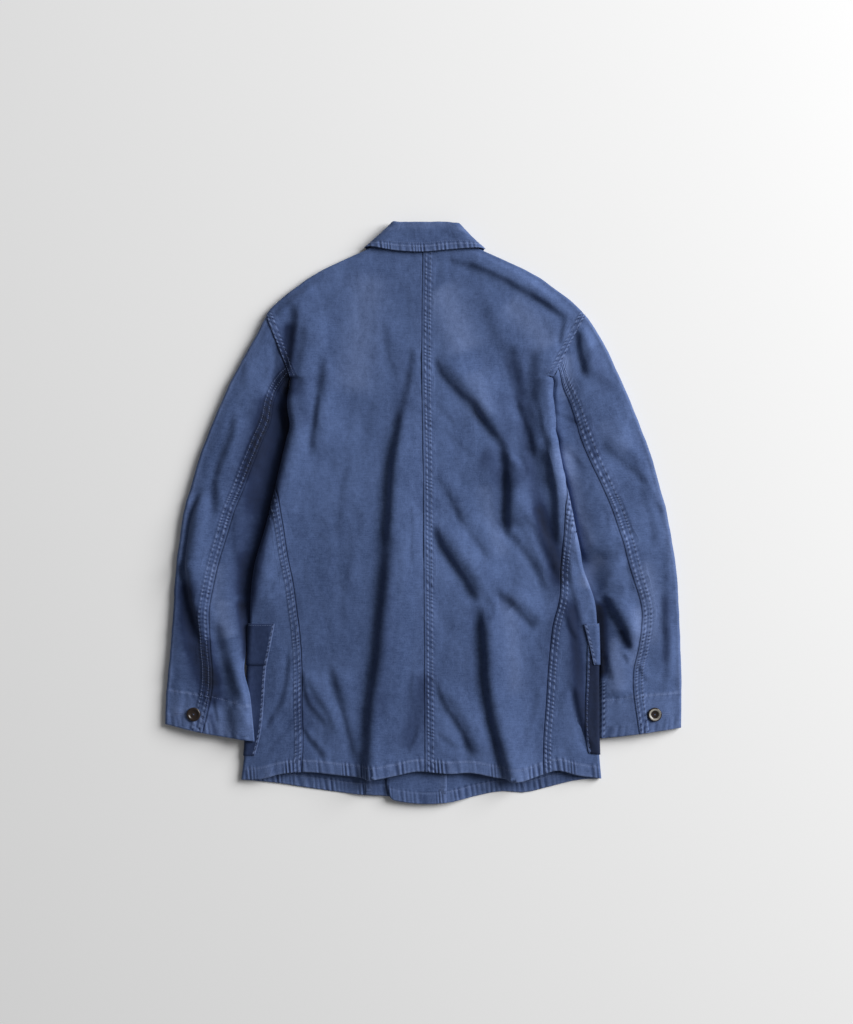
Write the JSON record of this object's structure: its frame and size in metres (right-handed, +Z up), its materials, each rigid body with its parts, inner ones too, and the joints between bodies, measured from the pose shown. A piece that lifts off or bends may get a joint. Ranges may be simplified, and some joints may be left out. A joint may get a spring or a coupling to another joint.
{
  "type": "chore jacket",
  "caption": "Cotton twill chore jacket lying flat on its front, with a fold-over collar, two-piece sleeves, flapped patch pockets and buttoned cuffs and front.",
  "frame": {"origin": "middle of the jacket's box, on the surface that it lies on", "axes": "+X to the viewer's right, +Y from the hem to the collar, +Z up out of the surface; the back of the jacket faces +Z"},
  "size_m": [0.7284, 0.8148, 0.0238],
  "materials": {
    "cloth": "washed cotton twill, matt",
    "button": "polished, with a raised rim"
  },
  "bodies": {
    "root": {"back_left": "cloth", "back_right": "cloth", "front_left": "cloth", "front_right": "cloth", "facing_left": "cloth", "facing_right": "cloth", "sleeve_top_left": "cloth", "sleeve_top_right": "cloth", "sleeve_under_left": "cloth", "sleeve_under_right": "cloth", "collar": "cloth", "pocket_left": "cloth", "pocket_right": "cloth", "flap_left": "cloth", "flap_right": "cloth", "button_cuff_left": "button", "button_cuff_right": "button", "button_front_1": "button", "button_front_2": "button", "button_front_3": "button", "button_front_4": "button", "button_front_5": "button"}
  },
  "joints": []
}
